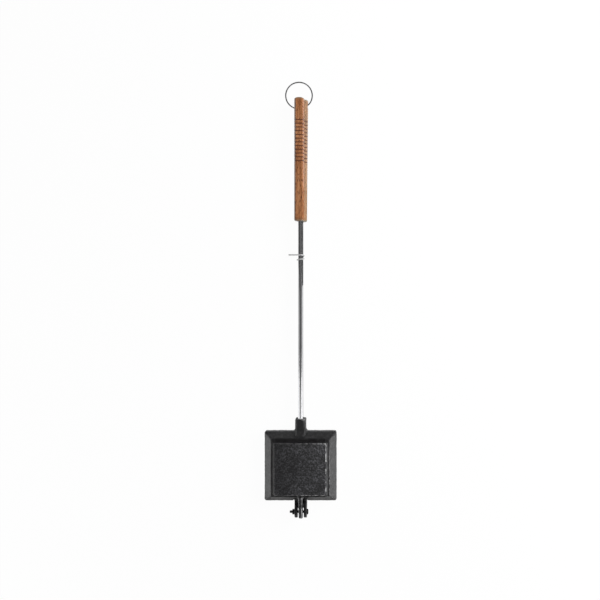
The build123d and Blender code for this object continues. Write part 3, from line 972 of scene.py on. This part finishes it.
def latchPath(shape):
    # hook stub, bend and arm, then a coil round the rod whose lay drops behind the rod and comes back a
    # little in front: y = back * smoothstep((turn - 0.75) / 0.5) - drop * smoothstep((turn - 0.1) / 0.65)
    radius, reachX, bend = shape["radius"], shape["reach"], shape["bend"]
    stub = np.linspace(-shape["overlap"], radius - bend, 12)[:-1]
    turnIn = np.linspace(math.pi, math.pi / 2, 14)[:-1]
    arm = np.linspace(bend - reachX, 0.0, 40)[:-1]
    turn = np.linspace(0.0, shape["turns"], 160)
    angle = math.pi / 2 - 2 * math.pi * turn
    lay = shape["back"] * smoothStep((turn - 0.75) / 0.5) - shape["drop"] * smoothStep((turn - 0.1) / 0.65)
    lead = np.concatenate([
        np.stack([np.full_like(stub, -reachX), stub], axis=1),
        np.stack([bend - reachX + bend * np.cos(turnIn), radius - bend + bend * np.sin(turnIn)], axis=1),
        np.stack([arm, np.full_like(arm, radius)], axis=1),
    ])
    coil = np.stack([radius * np.cos(angle), radius * np.sin(angle)], axis=1)
    flat = np.concatenate([lead, coil])
    y = np.concatenate([np.zeros(len(lead)), lay])
    return np.stack([flat[:, 0], y, flat[:, 1]], axis=1)


def makeLatch(node, shape):
    path = latchPath(shape) + np.array(jointAt["latch_swing"]["pos_m"])
    points = tube(path, (0.0, 1.0, 0.0), shape["wire"])
    return standIn(gridMesh(node, points), node)


makeLatch("latch_wire", latchShape)
print("wires made")

boltShape = {
    "radius": 2.0 * mm, "pitch": 0.7 * mm, "threadDepth": 0.36 * mm, "threaded": 7.0 * mm, "point": 0.6 * mm,
    "headRadius": 4.0 * mm, "headHeight": 2.0 * mm, "domeShare": 0.6, "domeDrop": 1.6,
    "slotWidth": 1.2 * mm, "slotDepth": 1.0 * mm, "columns": 64,
}


def boltHead(shape, under, length):
    # a short cylinder closed by a dome that falls by domeDrop * (1 - cos) of its height
    dome = np.linspace(0.0, math.pi / 2, 10)
    curve = shape["domeShare"] * shape["headHeight"]
    rise = under + shape["headHeight"] - curve + curve * np.sin(dome)
    fall = shape["headRadius"] - shape["domeDrop"] * curve * (1 - np.cos(dome))
    along = np.concatenate([[under], rise, [length]])
    return np.stack([along, np.concatenate([[shape["headRadius"]], fall, [0.0]])], axis=1)


def boltPoints(shape, length):
    # along +Y: a tail whose radius follows a triangle wave that climbs one pitch a turn, a plain shank and a
    # domed head
    columns = shape["columns"]
    angle = np.linspace(0.0, 2 * math.pi, columns, endpoint=False)
    tail = np.linspace(0.0, shape["threaded"], 140)
    phase = tail[:, None] / shape["pitch"] - angle / (2 * math.pi)
    wave = np.abs(2 * (phase - np.floor(phase)) - 1)
    start = np.clip(tail / shape["point"], 0.0, 1.0)[:, None]
    radius = shape["radius"] - shape["threadDepth"] * wave - 0.5 * shape["threadDepth"] * (1 - start)
    under = length - shape["headHeight"]
    plain = np.array([(shape["threaded"], shape["radius"]), (under, shape["radius"])])
    rest = np.concatenate([plain, boltHead(shape, under, length)])
    along = np.concatenate([[0.0], tail, rest[:, 0]])
    radii = np.concatenate([np.zeros((1, columns)), radius, np.repeat(rest[:, 1:], columns, axis=1)])
    y = np.repeat(along[:, None], columns, axis=1)
    return np.stack([radii * np.cos(angle), y, radii * np.sin(angle)], axis=-1)


def makeBolt(node, shape):
    # turned to lie along X with its head at +X; the slot is a boolean cut
    low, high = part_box(node)
    points = boltPoints(shape, high.x - low.x)
    x, y, z = points[..., 1] + low.x, points[..., 0] + hingeY, points[..., 2] + partingHeight
    placed = np.stack([x, y, z], axis=-1)
    mesh = gridMesh(node, placed)
    slot = bmesh.new()
    bmesh.ops.create_cube(slot, size=1.0)
    slotSize = (2 * shape["slotDepth"], 3 * shape["headRadius"], shape["slotWidth"])
    bmesh.ops.scale(slot, vec=slotSize, verts=slot.verts)
    bmesh.ops.translate(slot, vec=(high.x, hingeY, partingHeight), verts=slot.verts)
    slotMesh = bpy.data.meshes.new("slot")
    slot.to_mesh(slotMesh)
    slot.free()
    cutter = bpy.data.objects.new("slot", slotMesh)
    bpy.context.scene.collection.objects.link(cutter)
    mesh = shaped(mesh, "BOOLEAN", operation="DIFFERENCE", solver="EXACT", object=cutter)
    bpy.data.objects.remove(cutter)
    return standIn(mesh, node, 35.0)


makeBolt("hinge_bolt", boltShape)
nutSlots = nodes["hinge_nut"].data.materials
nutSlots.clear()
nutSlots.append(finishes["hinge_steel"])
print("hinge made")
